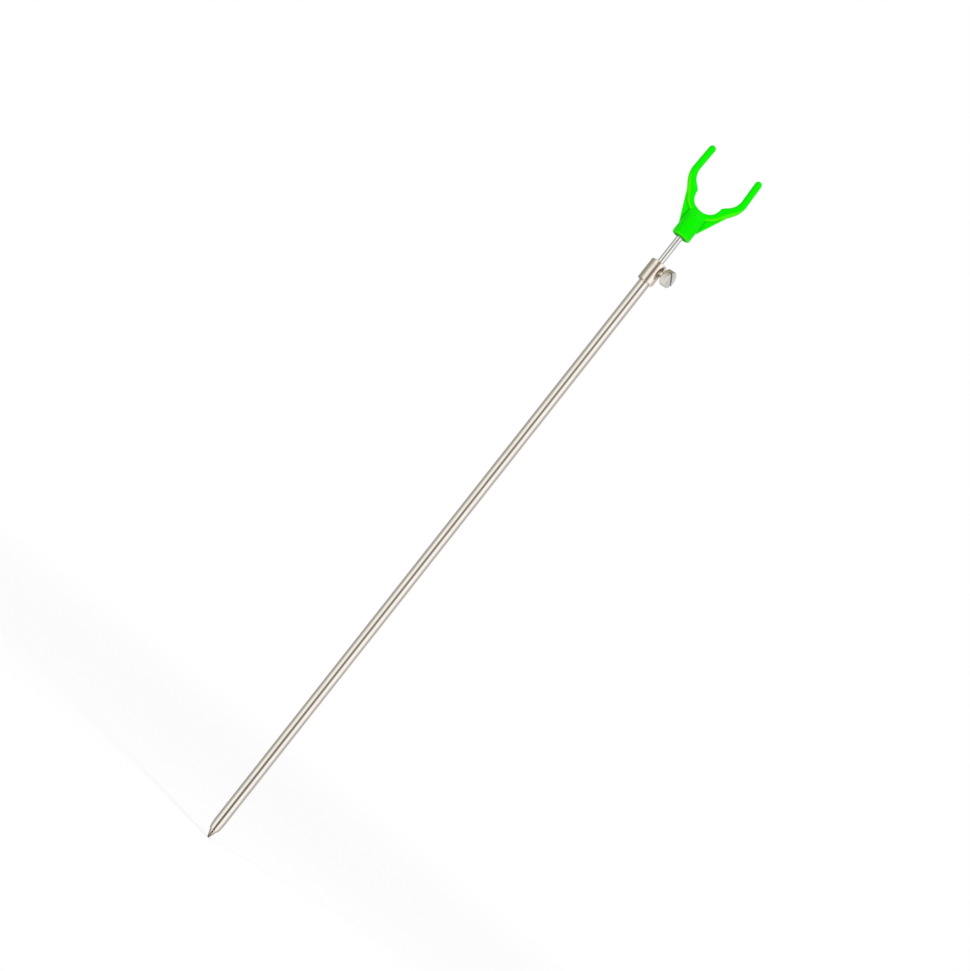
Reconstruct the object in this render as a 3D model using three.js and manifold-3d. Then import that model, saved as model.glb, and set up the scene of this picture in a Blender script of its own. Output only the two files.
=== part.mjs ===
// Telescopic bank stick with a clamp collar, a thumb screw and a moulded rod rest, in millimetres.
// The origin is the point of the spike, +Z runs up the stick and X runs across the fork.
import * as THREE from "three";
import { mergeVertices, toCreasedNormals } from "three/addons/utils/BufferGeometryUtils.js";
import Module from "manifold-3d";

const wasm = await Module();
wasm.setup();

// Fineness of the facets
const roundSides = 32;
const barSides = 20;
const edgeSteps = 4;
const swageSteps = 6;
const thinningSteps = 6;
const tipSteps = 4;
const cradleSteps = 9;
const elbowSteps = 6;

// Clearances
const runningClearance = 0.1;
const seatClearance = 0.04;
const endFloat = 0.1;
const cutOverrun = 2;

// Outer tube, swaged in over the spike at its foot
const tubeDiameter = 10.6;
const tubeWall = 0.9;
const tubeLength = 597.1;
const swageLength = 11;
const swageLipDiameter = 7.4;

// Spike: a point, a neck inside the swaged end, and a plug in the bore
const pointLength = 7.5;
const pointFlatDiameter = 1.2;
const pointShoulderShare = 0.7;
const plugLength = 15;
const plugChamfer = 0.8;

// Clamp collar: it sits over the tube's top, and its upper bore guides the rod
const collarWall = 2.35;
const collarSeatDepth = 10;
const collarLandBelowScrew = 0.8;
const collarLandAboveScrew = 4.8;
const collarFootRadius = 1.3;
const collarFootShare = 0.8;
const collarTopChamfer = 0.5;
const collarMouthChamfer = 0.4;

// Thumb screw: its axis leaves the collar to the front right, between the X and the -Y directions
const screwBearing = THREE.MathUtils.degToRad(29);
const screwThreadDiameter = 5;
const screwTipChamfer = 0.5;
const screwStandoff = 4.3;
const screwNeckStep = 0.7;
const screwNeckLength = 2.6;
const screwNeckChamfer = 0.4;
const thumbHeadDiameter = 15.3;
const thumbHeadLength = 7.2;
const thumbHeadChamfer = 0.8;
const thumbHeadCrown = 0.35;
const knurlCount = 46;
const knurlDepth = 0.35;
const slotWidth = 2;
const slotDepth = 2.2;
const slotAngle = THREE.MathUtils.degToRad(56);

// Nylon pad between the screw's end and the rod
const padEase = 0.5;
const padLength = 1.2;
const padChamfer = 0.2;

// Inner rod: lower spigot, plain length and threaded stub
const rodDiameter = 6.1;
const rodShowing = 28.1;
const rodFootRoom = 14;
const spigotDiameter = 4;
const spigotTail = 1.2;
const spigotChamfer = 0.3;
const stubStep = 0.55;
const stubLength = 9.5;
const stubChamfer = 0.5;

// Nylon guide bush at the rod's foot and the push-on washer that holds it
const bushLength = 16;
const bushChamfer = 0.5;
const washerWidth = 1.2;
const washerThickness = 0.5;
const washerTeeth = 6;
const washerToothDepth = 0.5;

// Brass insert in the rod rest, knurled in two bands with a groove between them
const insertWall = 1.4;
const insertLength = 10;
const insertGrooveDepth = 0.6;
const insertGrooveLength = 2.4;
const insertChamfer = 0.4;

// Rod rest: a socket boss, and a round bar that lines the cradle and bends up into two arms
const bossDiameter = 17.6;
const bossFootRadius = 1.7;
const bossMouthDepth = 2.5;
const bossThinningHeight = 12.5;
const bossTopDepth = 7;
const cradleDiameter = 25.4;
const cradleFloorHeight = 27.9;
const cradleBarDiameter = 6.7;
const shoulderWidth = 10.1;
const shoulderDrop = THREE.MathUtils.degToRad(12);
const elbowSetOut = 13.2;
const elbowRise = 8.6;
const elbowRadius = 19;
const elbowFootWidth = 8;
const armDiameter = 6.4;
const armRise = 30.5;
const armLean = THREE.MathUtils.degToRad(2.1);
const webThickness = 2.4;
const webFootHeight = 9.5;
const webReach = 3.4;
const webEdgeRadius = 0.7;
const webTuck = 0.5;

// Radii that follow from the sizes above
const tubeRadius = tubeDiameter / 2;
const boreRadius = tubeRadius - tubeWall;
const lipRadius = swageLipDiameter / 2;
const lipBoreRadius = lipRadius - tubeWall;
const rodRadius = rodDiameter / 2;
const spigotRadius = spigotDiameter / 2;
const stubRadius = rodRadius - stubStep;
const collarSeatRadius = tubeRadius + seatClearance;
const collarRadius = collarSeatRadius + collarWall;
const screwThreadRadius = screwThreadDiameter / 2;
const screwHoleRadius = screwThreadRadius + runningClearance;

// Heights that follow from the sizes above
const tubeFootHeight = pointLength;
const tubeTopHeight = tubeFootHeight + tubeLength;
const plugTopHeight = tubeFootHeight + swageLength + plugLength;
const collarFootHeight = tubeTopHeight - collarSeatDepth;
const screwHeight = tubeTopHeight + collarLandBelowScrew + screwHoleRadius;
const collarTopHeight = screwHeight + screwHoleRadius + collarLandAboveScrew;
const restFootHeight = collarTopHeight + rodShowing;
const rodTopHeight = restFootHeight + bossMouthDepth;
const rodSpigotLength = bushLength + washerThickness + 2 * endFloat + spigotTail;
const rodFootHeight = plugTopHeight + rodFootRoom + rodShowing;
const rodShoulderHeight = rodFootHeight + rodSpigotLength;
const bushTopHeight = rodShoulderHeight - endFloat;
const washerTopHeight = bushTopHeight - bushLength - endFloat;

// A profile of [radius, height] pairs turned about Z, run upwards on the outside
function turned(profile) {
  const points = profile.map(([radius, height]) => new THREE.Vector2(radius, height));
  return new THREE.LatheGeometry(points, roundSides).rotateX(Math.PI / 2);
}

// The same for a ring, whose profile closes on itself
function turnedRing(profile) {
  return turned([...profile, profile[0]]);
}

// Quarter of an ellipse from (fromRadius, fromHeight), flat there, to (toRadius, toHeight), upright there
function quarterProfile(fromRadius, fromHeight, toRadius, toHeight, steps) {
  const profile = [];
  for (let i = 0; i <= steps; i++) {
    const angle = (i / steps) * (Math.PI / 2);
    const radius = fromRadius + (toRadius - fromRadius) * Math.sin(angle);
    const height = fromHeight + (toHeight - fromHeight) * (1 - Math.cos(angle));
    profile.push([radius, height]);
  }
  return profile;
}

// A flat outline of [x, y] pairs, with holes, raised along Z from a height
function raised(outline, holes, height, depth) {
  const shape = new THREE.Shape(outline.map(([x, y]) => new THREE.Vector2(x, y)));
  shape.holes = holes.map((hole) => new THREE.Path(hole.map(([x, y]) => new THREE.Vector2(x, y))));
  return new THREE.ExtrudeGeometry(shape, { depth, bevelEnabled: false }).translate(0, 0, height);
}

// A ring of points whose radius is a function of the share of the turn
function polarOutline(count, radiusAt) {
  const outline = [];
  for (let i = 0; i < count; i++) {
    const share = i / count;
    const angle = share * 2 * Math.PI;
    outline.push([radiusAt(i) * Math.cos(angle), radiusAt(i) * Math.sin(angle)]);
  }
  return outline;
}

// A closed surface through rings of equally many points, whose first and last rings close on a point
function lofted(rings) {
  const sides = rings[0].length;
  const index = [];
  for (let i = 0; i + 1 < rings.length; i++) {
    for (let j = 0; j < sides; j++) {
      const here = i * sides + j;
      const beside = i * sides + ((j + 1) % sides);
      index.push(here, beside, here + sides);
      index.push(beside, beside + sides, here + sides);
    }
  }
  const positions = rings.flat().flatMap((point) => point.toArray());
  const geometry = new THREE.BufferGeometry();
  geometry.setAttribute("position", new THREE.Float32BufferAttribute(positions, 3));
  geometry.setIndex(index);
  return geometry;
}

function solidOf(geometry) {
  const bare = new THREE.BufferGeometry();
  bare.setAttribute("position", geometry.getAttribute("position"));
  bare.setIndex(geometry.getIndex());
  const merged = mergeVertices(bare);
  const vertProperties = merged.getAttribute("position").array;
  const triVerts = new Uint32Array(merged.getIndex().array);
  return new wasm.Manifold(new wasm.Mesh({ numProp: 3, vertProperties, triVerts }));
}

function geometryOf(solid) {
  const { vertProperties, triVerts } = solid.getMesh();
  const geometry = new THREE.BufferGeometry();
  geometry.setAttribute("position", new THREE.BufferAttribute(vertProperties, 3));
  geometry.setIndex(new THREE.BufferAttribute(triVerts, 1));
  return geometry;
}

const creaseAngle = THREE.MathUtils.degToRad(30);

function piece(name, geometry, material) {
  const bare = geometry.clone();
  bare.deleteAttribute("uv");
  bare.deleteAttribute("normal");
  const mesh = new THREE.Mesh(toCreasedNormals(bare, creaseAngle), material);
  mesh.name = name;
  return mesh;
}

// Finishes
const polishedSteel = new THREE.MeshStandardMaterial({ color: 0xcdc6bc, metalness: 1, roughness: 0.16 });
const platedRod = new THREE.MeshStandardMaterial({ color: 0xcfd1d0, metalness: 1, roughness: 0.12 });
const nickelPlate = new THREE.MeshStandardMaterial({ color: 0xc2c2bd, metalness: 1, roughness: 0.28 });
const springSteel = new THREE.MeshStandardMaterial({ color: 0x6f7276, metalness: 1, roughness: 0.4 });
const brass = new THREE.MeshStandardMaterial({ color: 0xb8923f, metalness: 1, roughness: 0.3 });
const whiteNylon = new THREE.MeshStandardMaterial({ color: 0xe9e6da, metalness: 0, roughness: 0.5 });
const greenPlastic = new THREE.MeshStandardMaterial({ color: 0x04ee04, metalness: 0, roughness: 0.38 });

// Outer tube: the swaged end is one arc outside and the same arc a wall further in
function outerTube() {
  const swageTop = tubeFootHeight + swageLength;
  const outside = quarterProfile(lipRadius, tubeFootHeight, tubeRadius, swageTop, swageSteps);
  const inside = quarterProfile(lipBoreRadius, tubeFootHeight, boreRadius, swageTop, swageSteps);
  return turnedRing([
    ...outside,
    [tubeRadius, tubeTopHeight],
    [boreRadius, tubeTopHeight],
    ...inside.reverse(),
  ]);
}

// Spike: the tube's lip closes on the shoulder behind the point, and the neck fills the swaged end
function groundSpike() {
  const shoulderRadius = lipBoreRadius + tubeWall * pointShoulderShare;
  const neckRadius = lipBoreRadius - seatClearance;
  const plugRadius = boreRadius - seatClearance;
  const swageTop = tubeFootHeight + swageLength;
  return turned([
    [0, 0],
    [pointFlatDiameter / 2, 0],
    [shoulderRadius, tubeFootHeight],
    ...quarterProfile(neckRadius, tubeFootHeight, plugRadius, swageTop, swageSteps),
    [plugRadius, plugTopHeight - plugChamfer],
    [plugRadius - plugChamfer, plugTopHeight],
    [0, plugTopHeight],
  ]);
}

// Clamp collar: stepped bore, rounded foot, and the tapped hole cut from the bore outwards
function clampCollar() {
  const guideRadius = rodRadius + runningClearance;
  const footRadius = Math.min(collarFootRadius, collarWall * collarFootShare);
  const footTop = collarFootHeight + footRadius;
  const body = turnedRing([
    ...quarterProfile(collarRadius - footRadius, collarFootHeight, collarRadius, footTop, edgeSteps),
    [collarRadius, collarTopHeight - collarTopChamfer],
    [collarRadius - collarTopChamfer, collarTopHeight],
    [guideRadius + collarMouthChamfer, collarTopHeight],
    [guideRadius, collarTopHeight - collarMouthChamfer],
    [guideRadius, tubeTopHeight],
    [collarSeatRadius, tubeTopHeight],
    [collarSeatRadius, collarFootHeight],
  ]);
  const holeLength = collarRadius + cutOverrun;
  const hole = new THREE.CylinderGeometry(screwHoleRadius, screwHoleRadius, holeLength, roundSides)
    .rotateZ(-Math.PI / 2)
    .translate(holeLength / 2, 0, 0)
    .rotateZ(-screwBearing)
    .translate(0, 0, screwHeight);
  return geometryOf(solidOf(body).subtract(solidOf(hole)));
}

// Places along the screw's axis, out from the axis of the stick
const padStart = rodRadius + endFloat;
const screwStart = padStart + padLength + endFloat;
const thumbHeadStart = collarRadius + screwStandoff;
const thumbHeadEnd = thumbHeadStart + thumbHeadLength;

function clampPad() {
  const radius = screwThreadRadius - padEase;
  return turned([
    [0, padStart],
    [radius - padChamfer, padStart],
    [radius, padStart + padChamfer],
    [radius, padStart + padLength],
    [0, padStart + padLength],
  ]);
}

// Thumb screw: turned shank and neck, and a drum whose teeth run along it, cut across by the slot
function clampScrew() {
  const neckRadius = screwThreadRadius + screwNeckStep;
  const neckStart = thumbHeadStart - screwNeckLength;
  const shank = turned([
    [0, screwStart],
    [screwThreadRadius - screwTipChamfer, screwStart],
    [screwThreadRadius, screwStart + screwTipChamfer],
    [screwThreadRadius, neckStart],
    [neckRadius - screwNeckChamfer, neckStart],
    [neckRadius, neckStart + screwNeckChamfer],
    [neckRadius, thumbHeadStart + thumbHeadChamfer],
    [0, thumbHeadStart + thumbHeadChamfer],
  ]);
  const headRadius = thumbHeadDiameter / 2;
  const faceRadius = headRadius - thumbHeadChamfer;
  const drum = turned([
    [0, thumbHeadStart],
    [faceRadius, thumbHeadStart],
    [headRadius, thumbHeadStart + thumbHeadChamfer],
    [headRadius, thumbHeadEnd - thumbHeadChamfer],
    [faceRadius, thumbHeadEnd - thumbHeadCrown],
    [0, thumbHeadEnd],
  ]);
  const ridges = polarOutline(2 * knurlCount, (i) => headRadius - (i % 2) * knurlDepth);
  const teeth = raised(ridges, [], thumbHeadStart - cutOverrun, thumbHeadLength + 2 * cutOverrun);
  const slot = new THREE.BoxGeometry(thumbHeadDiameter + cutOverrun, slotWidth, slotDepth + cutOverrun)
    .translate(0, 0, thumbHeadEnd - thumbHeadCrown - slotDepth + (slotDepth + cutOverrun) / 2)
    .rotateZ(slotAngle);
  const head = solidOf(drum).intersect(solidOf(teeth)).subtract(solidOf(slot));
  return geometryOf(solidOf(shank).add(head));
}

function innerRod() {
  const stubTop = rodTopHeight + stubLength;
  return turned([
    [0, rodFootHeight],
    [spigotRadius - spigotChamfer, rodFootHeight],
    [spigotRadius, rodFootHeight + spigotChamfer],
    [spigotRadius, rodShoulderHeight],
    [rodRadius, rodShoulderHeight],
    [rodRadius, rodTopHeight],
    [stubRadius, rodTopHeight],
    [stubRadius, stubTop - stubChamfer],
    [stubRadius - stubChamfer, stubTop],
    [0, stubTop],
  ]);
}

function guideBush() {
  const inner = spigotRadius + runningClearance;
  const outer = boreRadius - runningClearance;
  const foot = bushTopHeight - bushLength;
  return turnedRing([
    [inner, foot],
    [outer - bushChamfer, foot],
    [outer, foot + bushChamfer],
    [outer, bushTopHeight - bushChamfer],
    [outer - bushChamfer, bushTopHeight],
    [inner, bushTopHeight],
  ]);
}

// Push-on washer: the hole's teeth grip the spigot, with a relief between each two
function bushRetainer() {
  const stepsPerTooth = 4;
  const gripPoints = washerTeeth * stepsPerTooth;
  const gripRadius = (spigotRadius + seatClearance) / Math.cos(Math.PI / gripPoints);
  const rim = polarOutline(roundSides, () => spigotRadius + washerWidth);
  const grip = polarOutline(gripPoints, (i) =>
    i % stepsPerTooth < stepsPerTooth / 2 ? gripRadius : gripRadius + washerToothDepth,
  );
  return raised(rim, [grip], washerTopHeight - washerThickness, washerThickness);
}

const insertThreadRadius = stubRadius + runningClearance;

// The insert's outside as a profile that also shapes its pocket, with an allowance all round
function insertOutside(allowance) {
  const radius = insertThreadRadius + insertWall + allowance;
  const foot = rodTopHeight - allowance;
  const top = rodTopHeight + insertLength + allowance;
  const middle = (foot + top) / 2;
  const grooveHalf = insertGrooveLength / 2 - allowance;
  return [
    [radius - insertChamfer, foot],
    [radius, foot + insertChamfer],
    [radius, middle - grooveHalf],
    [radius - insertGrooveDepth, middle - grooveHalf],
    [radius - insertGrooveDepth, middle + grooveHalf],
    [radius, middle + grooveHalf],
    [radius, top - insertChamfer],
    [radius - insertChamfer, top],
  ];
}

function threadInsert() {
  return turnedRing([
    ...insertOutside(0),
    [insertThreadRadius, rodTopHeight + insertLength],
    [insertThreadRadius, rodTopHeight],
  ]);
}

// Places in the rod rest, above the foot of its boss
const cradleRadius = cradleDiameter / 2;
const cradleBarRadius = cradleBarDiameter / 2;
const cradleCentreHeight = cradleFloorHeight + cradleRadius;
const elbowX = cradleRadius + elbowSetOut;
const elbowHeight = cradleCentreHeight + elbowRise;
const restHeight = elbowHeight + armRise;

// Right half of the fork's bar, from the bottom of the cradle to the arm's tip, as stations:
// x and z of the centre line, the direction to the inside, and half the width and depth there
function barStations() {
  const stations = [];
  const armRadius = armDiameter / 2;
  const lineRadius = cradleRadius + cradleBarRadius;
  const station = (x, z, heading, width, depth) =>
    stations.push({ x, z, inX: -Math.sin(heading), inZ: Math.cos(heading), width, depth });
  const shoulderX = lineRadius * Math.cos(shoulderDrop);
  const shoulderZ = cradleCentreHeight - lineRadius * Math.sin(shoulderDrop);

  for (let i = 0; i + 1 < cradleSteps; i++) {
    const around = (i / cradleSteps) * (Math.PI / 2 - shoulderDrop);
    const x = lineRadius * Math.sin(around);
    const z = cradleCentreHeight - lineRadius * Math.cos(around);
    station(x, z, around, cradleBarRadius, cradleBarRadius);
  }

  const rise = Math.atan2(elbowHeight - shoulderZ, elbowX - shoulderX);
  station(shoulderX, shoulderZ, rise, shoulderWidth / 2, cradleBarRadius);

  const armHeading = Math.PI / 2 + armLean;
  const turn = armHeading - rise;
  const tangentLength = elbowRadius * Math.tan(turn / 2);
  const startX = elbowX - tangentLength * Math.cos(rise);
  const startZ = elbowHeight - tangentLength * Math.sin(rise);
  const centreX = startX - elbowRadius * Math.sin(rise);
  const centreZ = startZ + elbowRadius * Math.cos(rise);
  for (let i = 0; i <= elbowSteps; i++) {
    const share = i / elbowSteps;
    const heading = rise + share * turn;
    const x = centreX + elbowRadius * Math.sin(heading);
    const z = centreZ - elbowRadius * Math.cos(heading);
    station(x, z, heading, THREE.MathUtils.lerp(elbowFootWidth / 2, armRadius, share), armRadius);
  }

  const tipZ = restHeight - armRadius;
  const tipX = elbowX - (tipZ - elbowHeight) * Math.tan(armLean);
  for (let i = 0; i <= tipSteps; i++) {
    const angle = (i / tipSteps) * (Math.PI / 2);
    const ahead = armRadius * Math.sin(angle);
    const radius = armRadius * Math.cos(angle);
    const x = tipX + ahead * Math.cos(armHeading);
    const z = tipZ + ahead * Math.sin(armHeading);
    station(x, z, armHeading, radius, radius);
  }
  return stations;
}

function forkBar(stations) {
  const mirrored = stations
    .slice(1)
    .reverse()
    .map((s) => ({ ...s, x: -s.x, inX: -s.inX }));
  const rings = [...mirrored, ...stations].map((s) => {
    const ring = [];
    for (let j = 0; j < barSides; j++) {
      const angle = (j / barSides) * 2 * Math.PI;
      const inward = s.width * Math.cos(angle);
      ring.push(new THREE.Vector3(s.x + s.inX * inward, -s.depth * Math.sin(angle), s.z + s.inZ * inward));
    }
    return ring;
  });
  return lofted(rings);
}

// Thin web between the boss and the bar, an outline in X and Z with rounded edges
function forkWeb(shoulder) {
  const outward = shoulder.width - webEdgeRadius - webTuck;
  const half = [
    [bossDiameter / 2 - webEdgeRadius, webFootHeight],
    [
      shoulder.x - shoulder.inX * outward + shoulder.inZ * webReach,
      shoulder.z - shoulder.inZ * outward - shoulder.inX * webReach,
    ],
    [shoulder.x, shoulder.z],
    [0, cradleFloorHeight - cradleBarRadius],
  ];
  const outline = [...half, ...half.slice(0, -1).reverse().map(([x, z]) => [-x, z])];
  const shape = new THREE.Shape(outline.map(([x, z]) => new THREE.Vector2(x, z)));
  const depth = webThickness - 2 * webEdgeRadius;
  return new THREE.ExtrudeGeometry(shape, {
    depth,
    bevelEnabled: true,
    bevelThickness: webEdgeRadius,
    bevelSize: webEdgeRadius,
    bevelSegments: 2,
  })
    .translate(0, 0, -depth / 2)
    .rotateX(Math.PI / 2);
}

// Socket boss: round at its foot, and thinned from front to back above it until it is as deep as the bar
function socketBoss() {
  const radius = bossDiameter / 2;
  const top = cradleFloorHeight + cradleBarRadius / 2;
  const thinningFoot = top - bossThinningHeight;
  const side = [];
  for (let i = 0; i <= thinningSteps; i++) {
    side.push([radius, thinningFoot + (i / thinningSteps) * bossThinningHeight]);
  }
  const boss = turned([
    [0, 0],
    ...quarterProfile(radius - bossFootRadius, 0, radius, bossFootRadius, edgeSteps),
    ...side,
    [0, top],
  ]);
  const points = boss.getAttribute("position");
  for (let i = 0; i < points.count; i++) {
    const thinned = THREE.MathUtils.smoothstep(points.getZ(i), thinningFoot, top);
    points.setY(i, points.getY(i) * THREE.MathUtils.lerp(1, bossTopDepth / bossDiameter, thinned));
  }
  return boss;
}

// Rod rest: boss, bar and web joined, then the cradle's round seat and the insert's pocket cut
function rodRest() {
  const stations = barStations();
  const seatLength = bossDiameter + cutOverrun;
  const seat = new THREE.CylinderGeometry(cradleRadius, cradleRadius, seatLength, 2 * roundSides)
    .translate(0, 0, cradleCentreHeight);
  const mouthRadius = rodRadius + runningClearance;
  const pocket = turned([
    [0, restFootHeight - cutOverrun],
    [mouthRadius, restFootHeight - cutOverrun],
    [mouthRadius, rodTopHeight - seatClearance],
    ...insertOutside(seatClearance),
    [0, rodTopHeight + insertLength + seatClearance],
  ]).translate(0, 0, -restFootHeight);
  const bar = forkBar(stations);
  const web = forkWeb(stations[cradleSteps - 1]);
  const body = solidOf(socketBoss()).add(solidOf(bar)).add(solidOf(web));
  return geometryOf(body.subtract(solidOf(seat)).subtract(solidOf(pocket)));
}

// Assembly
const bankStick = new THREE.Group();
bankStick.name = "bank_stick";

const lowerStick = new THREE.Group();
lowerStick.add(piece("outer_tube", outerTube(), polishedSteel));
lowerStick.add(piece("ground_spike", groundSpike(), polishedSteel));
lowerStick.add(piece("clamp_collar", clampCollar(), polishedSteel));
bankStick.add(lowerStick);

const clamp = new THREE.Group();
clamp.position.z = screwHeight;
clamp.rotation.z = -screwBearing;
const screwAxis = new THREE.Group();
screwAxis.rotation.y = Math.PI / 2;
screwAxis.add(piece("clamp_pad", clampPad(), whiteNylon));
screwAxis.add(piece("clamp_screw", clampScrew(), nickelPlate));
clamp.add(screwAxis);
bankStick.add(clamp);

const extension = new THREE.Group();
extension.add(piece("guide_bush", guideBush(), whiteNylon));
extension.add(piece("inner_rod", innerRod(), platedRod));
extension.add(piece("bush_retainer", bushRetainer(), springSteel));
extension.add(piece("thread_insert", threadInsert(), brass));
const rest = piece("rod_rest", rodRest(), greenPlastic);
rest.position.z = restFootHeight;
extension.add(rest);
bankStick.add(extension);

export default bankStick;
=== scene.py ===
import math

import bmesh
import bpy
from mathutils import Matrix, Vector


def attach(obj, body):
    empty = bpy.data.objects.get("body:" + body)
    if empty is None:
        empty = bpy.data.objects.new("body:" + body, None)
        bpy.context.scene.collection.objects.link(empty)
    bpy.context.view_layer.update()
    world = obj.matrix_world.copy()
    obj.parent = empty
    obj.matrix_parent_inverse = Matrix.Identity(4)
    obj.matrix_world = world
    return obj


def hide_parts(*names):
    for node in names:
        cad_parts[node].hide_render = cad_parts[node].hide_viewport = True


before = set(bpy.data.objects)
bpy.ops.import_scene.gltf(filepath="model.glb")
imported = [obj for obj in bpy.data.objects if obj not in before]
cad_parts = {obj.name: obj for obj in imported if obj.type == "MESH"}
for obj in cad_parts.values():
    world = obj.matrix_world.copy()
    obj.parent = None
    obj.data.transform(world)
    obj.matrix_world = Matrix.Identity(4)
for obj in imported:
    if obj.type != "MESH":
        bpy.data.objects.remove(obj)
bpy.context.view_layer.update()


# Ground spike
# A solid steel point turned to a cone. Its neck and plug sit inside the tube's end, which is swaged in
# over them, so only the cone shows. It has fine turning rings, and its colour darkens towards the tip.
MM = 0.001
ROUND_SIDES = 96
MERGE_DISTANCE = 1e-7
KNIFE_EDGE = math.radians(150)


def turned(profile, sides=ROUND_SIDES, closed=False):
    """A shape turned about Z from (radius, height) points in mm, foot first. A closed profile is a ring."""
    bm = bmesh.new()
    points = [bm.verts.new((radius * MM, 0, height * MM)) for radius, height in profile]
    path = points + points[:1] if closed else points
    edges = [bm.edges.new(pair) for pair in zip(path, path[1:])]
    bmesh.ops.spin(bm, geom=points + edges, cent=(0, 0, 0), axis=(0, 0, 1),
                   angle=2 * math.pi, steps=sides, use_merge=True)
    bmesh.ops.remove_doubles(bm, verts=bm.verts, dist=MERGE_DISTANCE)
    bmesh.ops.recalc_face_normals(bm, faces=bm.faces)
    return bm


def break_corners(bm, width, segments=2, over=25):
    """Rounds by a width in mm the edges that turn by more than over, in degrees, but no knife edges."""
    corners = [edge for edge in bm.edges if math.radians(over) < edge.calc_face_angle(0) < KNIFE_EDGE]
    bmesh.ops.bevel(bm, geom=corners, offset=width * MM, offset_type="OFFSET", segments=segments,
                    profile=0.5, affect="EDGES", clamp_overlap=True, material=-1)


def bulge(start_radius, start_height, end_radius, end_height, steps=20):
    """Points of a quarter ellipse that starts level and ends upright."""
    angles = [math.pi / 2 * i / steps for i in range(steps + 1)]
    return [(start_radius + (end_radius - start_radius) * math.sin(angle),
             start_height + (end_height - start_height) * (1 - math.cos(angle))) for angle in angles]


def finished(bm, name, material, crease=40):
    """The finished mesh as an object, smooth but for edges sharper than the crease, in degrees."""
    mesh = bpy.data.meshes.new(name)
    for face in bm.faces:
        face.smooth = True
    bm.to_mesh(mesh)
    bm.free()
    mesh.set_sharp_from_angle(angle=math.radians(crease))
    mesh.materials.append(material)
    thing = bpy.data.objects.new(name, mesh)
    bpy.context.scene.collection.objects.link(thing)
    return thing


class Wire:
    """A shader socket that takes part in sums, and adds other nodes to its tree."""

    def __init__(self, tree, socket=None):
        self.tree, self.socket = tree, socket

    def node(self, kind, settings=None, sockets=None, output=0):
        """Adds a node with its settings, then its sockets' values or links, and gives one output."""
        made = self.tree.nodes.new("ShaderNode" + kind)
        for name, value in (settings or {}).items():
            if name == "stops":
                ramp = made.color_ramp.elements
                for stop, (position, tone) in zip(ramp, value[:2]):
                    stop.position, stop.color = position, tone
                for position, tone in value[2:]:
                    ramp.new(position).color = tone
            else:
                setattr(made, name, value)
        for name, value in (sockets or {}).items():
            if isinstance(value, Wire):
                self.tree.links.new(value.socket, made.inputs[name])
            else:
                made.inputs[name].default_value = value
        return Wire(self.tree, made.outputs[output])

    def maths(self, operation, first, second=0):
        return self.node("Math", {"operation": operation}, {0: first, 1: second})

    def __add__(self, other):
        return self.maths("ADD", self, other)

    def __sub__(self, other):
        return self.maths("SUBTRACT", self, other)

    def __rsub__(self, other):
        return self.maths("SUBTRACT", other, self)

    def __mul__(self, other):
        return self.maths("MULTIPLY", self, other)

    def __truediv__(self, other):
        return self.maths("DIVIDE", self, other)

    def __gt__(self, other):
        return self.maths("GREATER_THAN", self, other)

    def __abs__(self):
        return self.maths("ABSOLUTE", self)

    __radd__, __rmul__ = __add__, __mul__


def finish(name, paint):
    """A material whose shader takes the values and wires that paint gives for a place on the piece."""
    material = bpy.data.materials.new(name)
    material.use_nodes = True
    tree = material.node_tree
    shader = tree.nodes["Principled BSDF"]
    for socket, value in paint(Wire(tree).node("TexCoord", output="Object")).items():
        if isinstance(value, Wire):
            tree.links.new(value.socket, shader.inputs[socket])
        else:
            shader.inputs[socket].default_value = value
    return material


def colour(red, green, blue):
    return (red, green, blue, 1)


def blended(share, low, high):
    """A colour between two, by a wire from 0 to 1."""
    return share.node("Mix", {"data_type": "RGBA"}, {0: share, 6: low, 7: high}, 2)


def ramped(wire, start, end, low=0.0, high=1.0):
    """A wire's range start to end mapped to low to high, and held beyond it."""
    return wire.node("MapRange", {"clamp": True},
                     {"Value": wire, "From Min": start, "From Max": end, "To Min": low, "To Max": high})


def ramped_mm(wire, start, end, low=0.0, high=1.0):
    """The same for a wire in metres, with its range in mm."""
    return ramped(wire, start * MM, end * MM, low, high)


def measured(place, axis):
    """How far a place is along X, Y or Z, in metres."""
    return place.node("SeparateXYZ", {}, {0: place}, axis)


def off_centre(place):
    """How far a place is from the Z axis, in metres."""
    level = place.node("VectorMath", {"operation": "MULTIPLY"}, {0: place, 1: (1, 1, 0)})
    return place.node("VectorMath", {"operation": "LENGTH"}, {0: level}, "Value")


def cloudy(place, scale, detail, rough, twist=0.0):
    """Soft noise from 0 to 1, with a scale in patches a metre."""
    return place.node("TexNoise", {}, {"Vector": place, "Scale": scale, "Detail": detail,
                                       "Roughness": rough, "Distortion": twist})


def rings(place, per_metre):
    """Fine lines round the Z axis of place: along a cylinder by height, across a flat end by radius."""
    return place.node("TexNoise", {"noise_dimensions": "1D"},
                      {"W": (off_centre(place) + measured(place, "Z")) * per_metre,
                       "Scale": 1.0, "Detail": 2.0, "Roughness": 0.6})


def raised(height, depth):
    """A bump of a depth in mm from a wire from 0 to 1."""
    return height.node("Bump", {}, {"Height": height, "Distance": depth * MM, "Strength": 1.0})


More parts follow.
